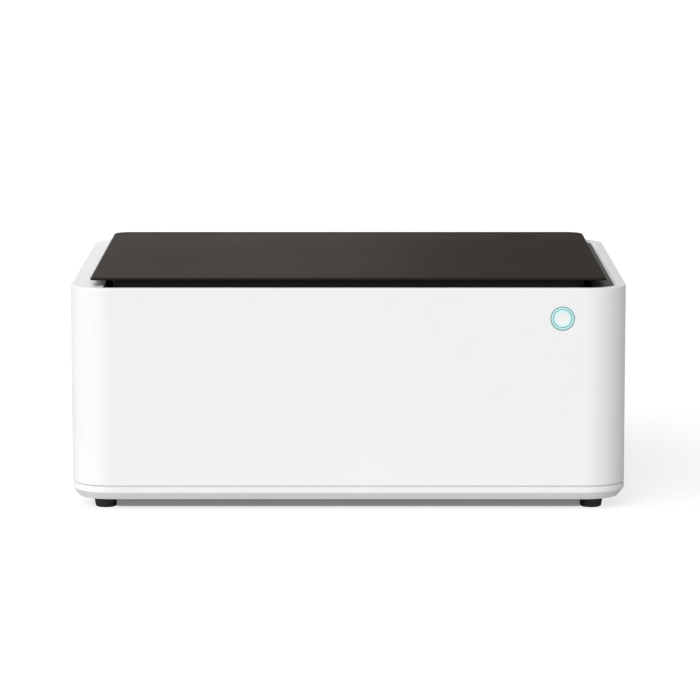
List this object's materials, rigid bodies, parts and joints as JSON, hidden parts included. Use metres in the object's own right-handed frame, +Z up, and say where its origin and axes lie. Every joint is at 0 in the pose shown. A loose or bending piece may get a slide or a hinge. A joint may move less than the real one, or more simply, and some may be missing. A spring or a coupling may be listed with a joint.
{
  "type": "desktop laser cutter",
  "caption": "White box-shaped desktop laser cutter with a smoked rear-hinged lid, a belt-driven gantry, a laser and blade head, a lit start button and a rear exhaust.",
  "frame": {"origin": "on the floor, midway between the feet: centre of the bounding box's bottom", "axes": "+Z up, +X to the machine's right seen from the front, front face towards -Y"},
  "size_m": [0.553, 0.438, 0.2315],
  "materials": {
    "shell_white": "fine textured, satin",
    "button_white": "satin, lit from behind",
    "light_ring": "frosted light guide",
    "seam_grey": "matt",
    "trim_dark": "fine textured",
    "trim_black": "matt",
    "liner_dark": "powder coat",
    "foam_black": "foam",
    "smoked_window": "polished, smoked",
    "plate_steel": "powder coat",
    "bed_aluminium": "satin",
    "black_anodised": "anodised",
    "brass_nozzle": "turned",
    "fan_black": "moulded",
    "rail_steel": "ground",
    "board_green": "solder mask",
    "belt_rubber": "toothed",
    "pulley_aluminium": "turned",
    "motor_black": "enamel",
    "foot_rubber": "matt"
  },
  "bodies": {
    "housing": {"outer_casing": "shell_white", "base_frame": "shell_white", "left_ledge": "shell_white", "button_light_ring": "light_ring", "seam_gasket": "seam_grey", "right_ledge": "trim_dark", "chamber_liner": "liner_dark", "inner_frame": "trim_black", "hinge_bar": "trim_black", "bottom_plate": "plate_steel", "work_bed": "bed_aluminium", "exhaust_fan_frame": "fan_black", "exhaust_collar": "trim_dark", "rear_panel": "trim_dark", "power_inlet": "trim_black", "usb_socket": "rail_steel", "power_supply": "bed_aluminium", "control_board": "board_green", "y_rail_left": "rail_steel", "y_rail_right": "rail_steel", "y_belt_left": "belt_rubber", "y_belt_right": "belt_rubber", "y_motor": "motor_black", "button_switch": "trim_black", "hinge_pin_left": "rail_steel", "hinge_pin_right": "rail_steel", "foot_front_left": "foot_rubber", "foot_front_right": "foot_rubber", "foot_rear_left": "foot_rubber", "foot_rear_right": "foot_rubber", "support_bar_1": "rail_steel", "support_bar_2": "rail_steel", "support_bar_3": "rail_steel", "support_bar_4": "rail_steel"},
    "lid": {"lid_window": "smoked_window", "lid_frame": "trim_black", "lid_seal": "foam_black", "hinge_leaf_left": "rail_steel", "hinge_leaf_right": "rail_steel"},
    "button": {"button_cap": "button_white"},
    "gantry": {"gantry_beam": "bed_aluminium", "x_rail": "rail_steel", "gantry_block_left": "black_anodised", "gantry_block_right": "black_anodised", "x_motor": "motor_black", "x_belt": "belt_rubber"},
    "carriage": {"carriage_plate": "bed_aluminium", "laser_module": "black_anodised", "laser_nozzle": "brass_nozzle", "head_cover": "shell_white"},
    "fan_rotor": {"laser_fan": "fan_black"},
    "tool": {"tool_holder": "trim_dark", "blade_cartridge": "rail_steel"},
    "drive_shaft": {"y_shaft": "rail_steel"},
    "left_idler": {"y_idler_left": "pulley_aluminium"},
    "right_idler": {"y_idler_right": "pulley_aluminium"},
    "x_drive_pulley": {"x_pulley": "pulley_aluminium"},
    "x_idler_pulley": {"x_idler": "pulley_aluminium"},
    "exhaust_rotor": {"exhaust_fan_rotor": "fan_black"},
    "rocker": {"power_rocker": "trim_black"}
  },
  "joints": [
    {"name": "lid_hinge", "type": "hinge", "parent": "housing", "child": "lid", "pos_m": [0, 0.209, 0.2248], "axis": [-1, 0, 0], "range_deg": [0, 70]},
    {"name": "button_press", "type": "slide", "parent": "housing", "child": "button", "axis": [0, 1, 0], "range_m": [0, 0.0012], "stiffness_N_per_m": 800, "springref_m": -0.0005},
    {"name": "gantry_slide", "type": "slide", "parent": "housing", "child": "gantry", "axis": [0, 1, 0], "range_m": [-0.3, 0]},
    {"name": "head_slide", "type": "slide", "parent": "gantry", "child": "carriage", "axis": [1, 0, 0], "range_m": [-0.19, 0.19]},
    {"name": "tool_lift", "type": "slide", "parent": "carriage", "child": "tool", "axis": [0, 0, 1], "range_m": [-0.02, 0]},
    {"name": "laser_fan_spin", "type": "hinge", "parent": "carriage", "child": "fan_rotor", "pos_m": [-0.012, 0.13, 0.167], "axis": [0, 0, 1], "continuous": true},
    {"name": "exhaust_fan_spin", "type": "hinge", "parent": "housing", "child": "exhaust_rotor", "pos_m": [0.165, 0.19, 0.12], "axis": [0, 1, 0], "continuous": true},
    {"name": "rocker_tilt", "type": "hinge", "parent": "housing", "child": "rocker", "pos_m": [-0.148, 0.212, 0.07], "axis": [1, 0, 0], "range_deg": [0, 12]},
    {"name": "drive_shaft_spin", "type": "hinge", "parent": "housing", "child": "drive_shaft", "pos_m": [0, 0.17, 0.118], "axis": [1, 0, 0], "range_deg": [0, 2700]},
    {"name": "left_idler_spin", "type": "hinge", "parent": "housing", "child": "left_idler", "pos_m": [-0.235, -0.184, 0.118], "axis": [1, 0, 0], "range_deg": [0, 2700]},
    {"name": "right_idler_spin", "type": "hinge", "parent": "housing", "child": "right_idler", "pos_m": [0.235, -0.184, 0.118], "axis": [1, 0, 0], "range_deg": [0, 2700]},
    {"name": "x_pulley_spin", "type": "hinge", "parent": "gantry", "child": "x_drive_pulley", "pos_m": [-0.207, 0.164, 0.171], "axis": [0, 0, 1], "range_deg": [-1720, 1720]},
    {"name": "x_idler_spin", "type": "hinge", "parent": "gantry", "child": "x_idler_pulley", "pos_m": [0.212, 0.164, 0.171], "axis": [0, 0, 1], "range_deg": [-1720, 1720]}
  ],
  "couplings": [
    {"joint": "drive_shaft_spin", "follows": "gantry_slide", "rad_per_m": -156.25},
    {"joint": "left_idler_spin", "follows": "gantry_slide", "rad_per_m": -156.25},
    {"joint": "right_idler_spin", "follows": "gantry_slide", "rad_per_m": -156.25},
    {"joint": "x_pulley_spin", "follows": "head_slide", "rad_per_m": 156.25},
    {"joint": "x_idler_spin", "follows": "head_slide", "rad_per_m": 156.25}
  ]
}
